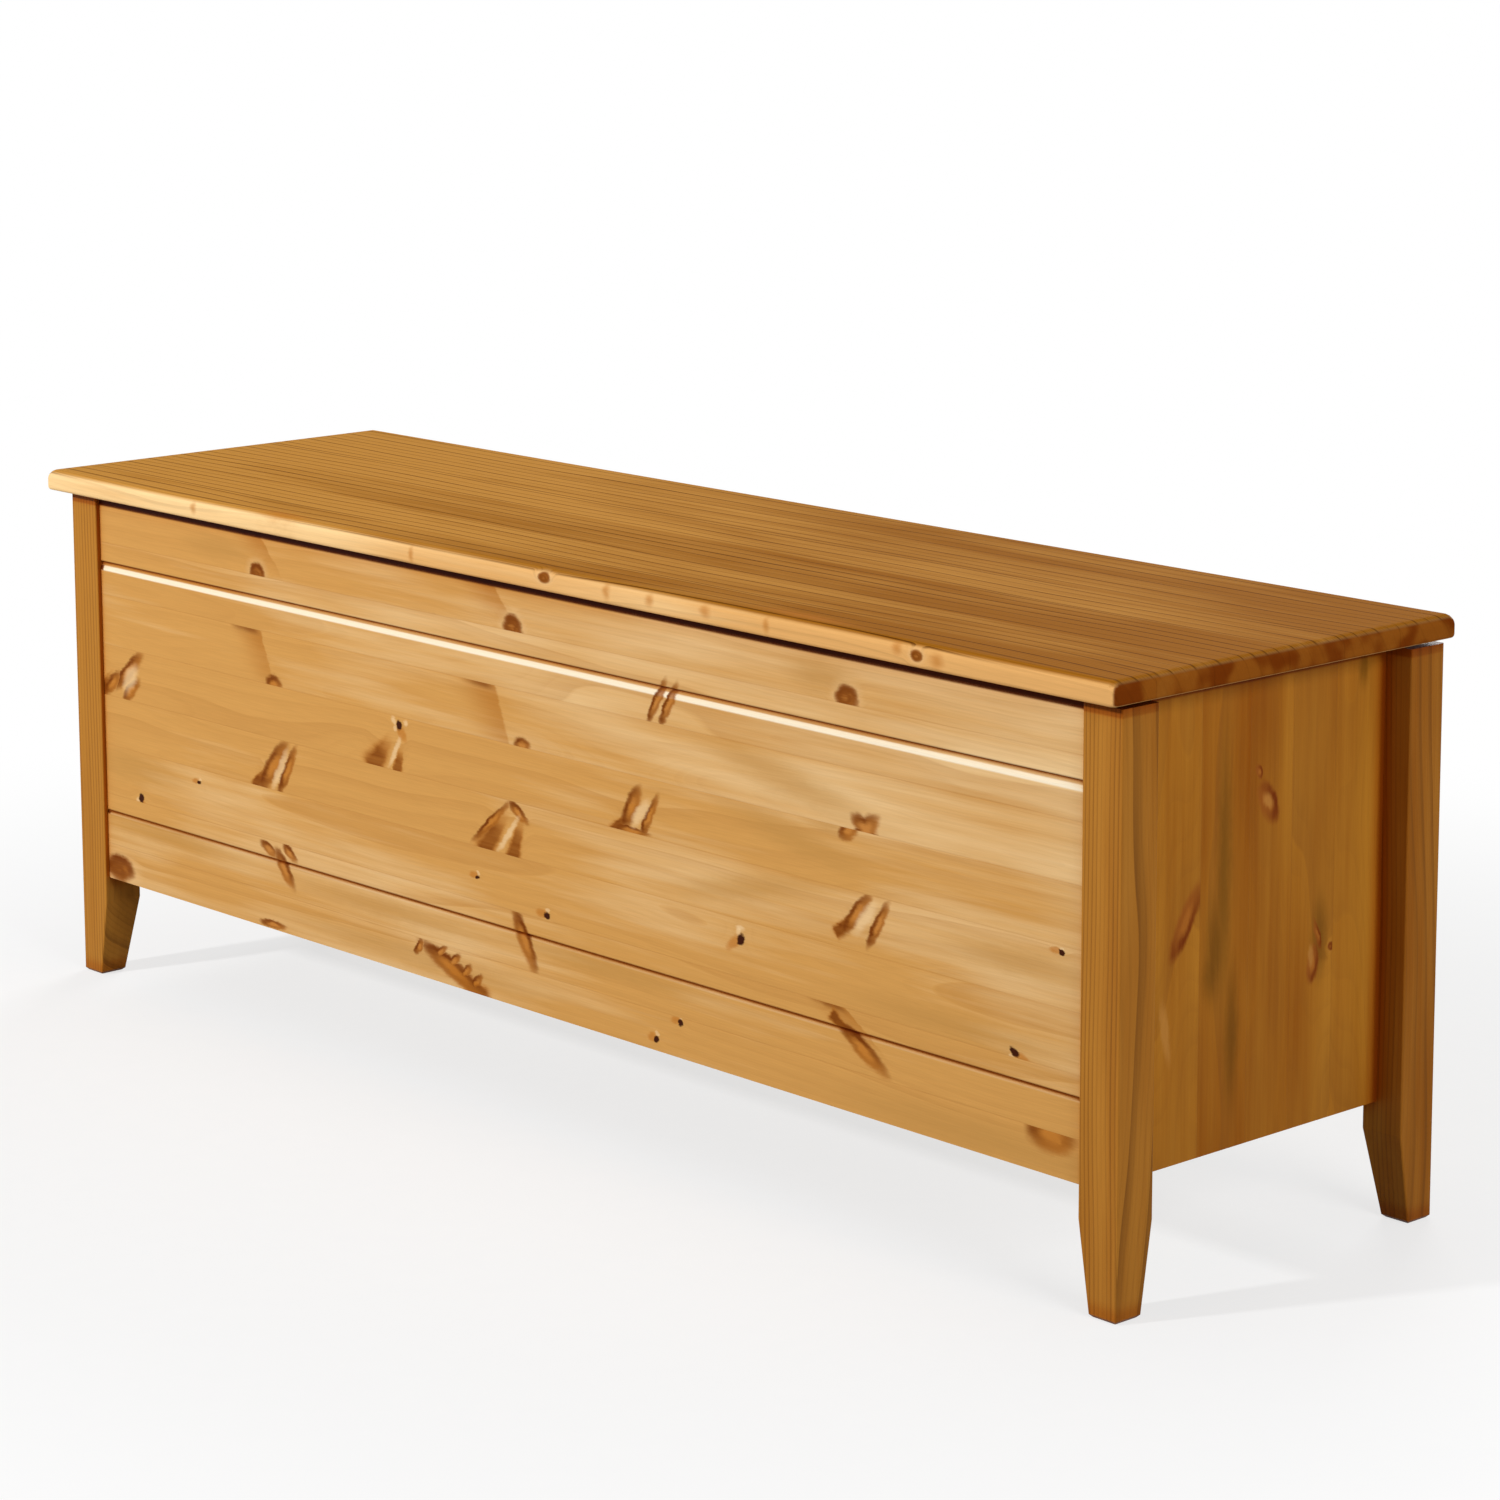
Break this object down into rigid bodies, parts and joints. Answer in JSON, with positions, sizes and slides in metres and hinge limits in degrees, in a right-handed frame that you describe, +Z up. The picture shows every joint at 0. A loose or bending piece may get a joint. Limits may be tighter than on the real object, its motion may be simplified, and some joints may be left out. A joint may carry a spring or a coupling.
{
  "type": "blanket chest",
  "caption": "Long pine blanket chest on four square tapered legs, with a grooved front, recessed ends and a hinged overhanging lid held open by slotted stays.",
  "frame": {"origin": "on the floor, under the middle of the whole chest's bounding box", "axes": "+X along the chest to the right end seen from the front, front faces -Y, +Z up"},
  "size_m": [1.29, 0.3676, 0.46],
  "materials": {
    "pine_leg": "honey-stained pine, satin lacquer, upright grain",
    "pine_panel": "knotty pine, satin lacquer, grain along the chest",
    "pine_side": "knotty pine, satin lacquer, upright grain",
    "pine_lid": "edge-glued pine, satin lacquer, grain along the chest",
    "pine_inner": "planed bare pine",
    "plywood": "sanded birch plywood",
    "beech": "fluted beech dowel",
    "hinge_steel": "zinc-plated pressed steel",
    "stay_steel": "zinc-plated strip steel",
    "screw_steel": "zinc-plated turned steel",
    "zinc_fitting": "die-cast zinc",
    "rubber_pad": "matt dark rubber"
  },
  "bodies": {
    "case": {"back_panel": "pine_panel", "bearer_dowels": "beech", "cam_bolts": "zinc_fitting", "cam_discs": "zinc_fitting", "cleat_screws": "screw_steel", "floor_bearer": "pine_inner", "floor_cleat_front": "pine_inner", "floor_cleat_left": "pine_inner", "floor_cleat_rear": "pine_inner", "floor_cleat_right": "pine_inner", "floor_panel": "plywood", "floor_screws": "screw_steel", "front_panel": "pine_panel", "hinge_case_leaf_left": "hinge_steel", "hinge_case_leaf_middle": "hinge_steel", "hinge_case_leaf_right": "hinge_steel", "hinge_case_screws": "screw_steel", "hinge_pin_left": "screw_steel", "hinge_pin_middle": "screw_steel", "hinge_pin_right": "screw_steel", "leg_front_left": "pine_leg", "leg_front_right": "pine_leg", "leg_rear_left": "pine_leg", "leg_rear_right": "pine_leg", "lid_pads": "rubber_pad", "panel_dowels": "beech", "side_dowels": "beech", "side_panel_left": "pine_side", "side_panel_right": "pine_side", "stay_stud_left": "screw_steel", "stay_stud_right": "screw_steel"},
    "lid": {"batten_screws": "screw_steel", "hinge_lid_leaf_left": "hinge_steel", "hinge_lid_leaf_middle": "hinge_steel", "hinge_lid_leaf_right": "hinge_steel", "hinge_lid_screws": "screw_steel", "lid_batten_left": "pine_inner", "lid_batten_middle": "pine_inner", "lid_batten_right": "pine_inner", "lid_board": "pine_lid", "stay_bracket_left": "stay_steel", "stay_bracket_right": "stay_steel", "stay_bracket_screws": "screw_steel", "stay_rivet_left": "screw_steel", "stay_rivet_right": "screw_steel"},
    "stay_left": {"stay_arm_left": "stay_steel"},
    "stay_right": {"stay_arm_right": "stay_steel"}
  },
  "joints": [
    {"name": "lid_hinge", "type": "hinge", "parent": "case", "child": "lid", "pos_m": [0, 0.18125, 0.4395], "axis": [-1, 0, 0], "range_deg": [0, 100]},
    {"name": "stay_left_pivot", "type": "hinge", "parent": "lid", "child": "stay_left", "pos_m": [-0.591, 0.03207, 0.42382], "axis": [-1, 0, 0], "range_deg": [-50, 0]},
    {"name": "stay_right_pivot", "type": "hinge", "parent": "lid", "child": "stay_right", "pos_m": [0.591, 0.03207, 0.42382], "axis": [-1, 0, 0], "range_deg": [-50, 0]}
  ],
  "couplings": [
    {"joint": "stay_left_pivot", "follows": "lid_hinge", "ratio": -0.5},
    {"joint": "stay_right_pivot", "follows": "lid_hinge", "ratio": -0.5}
  ]
}
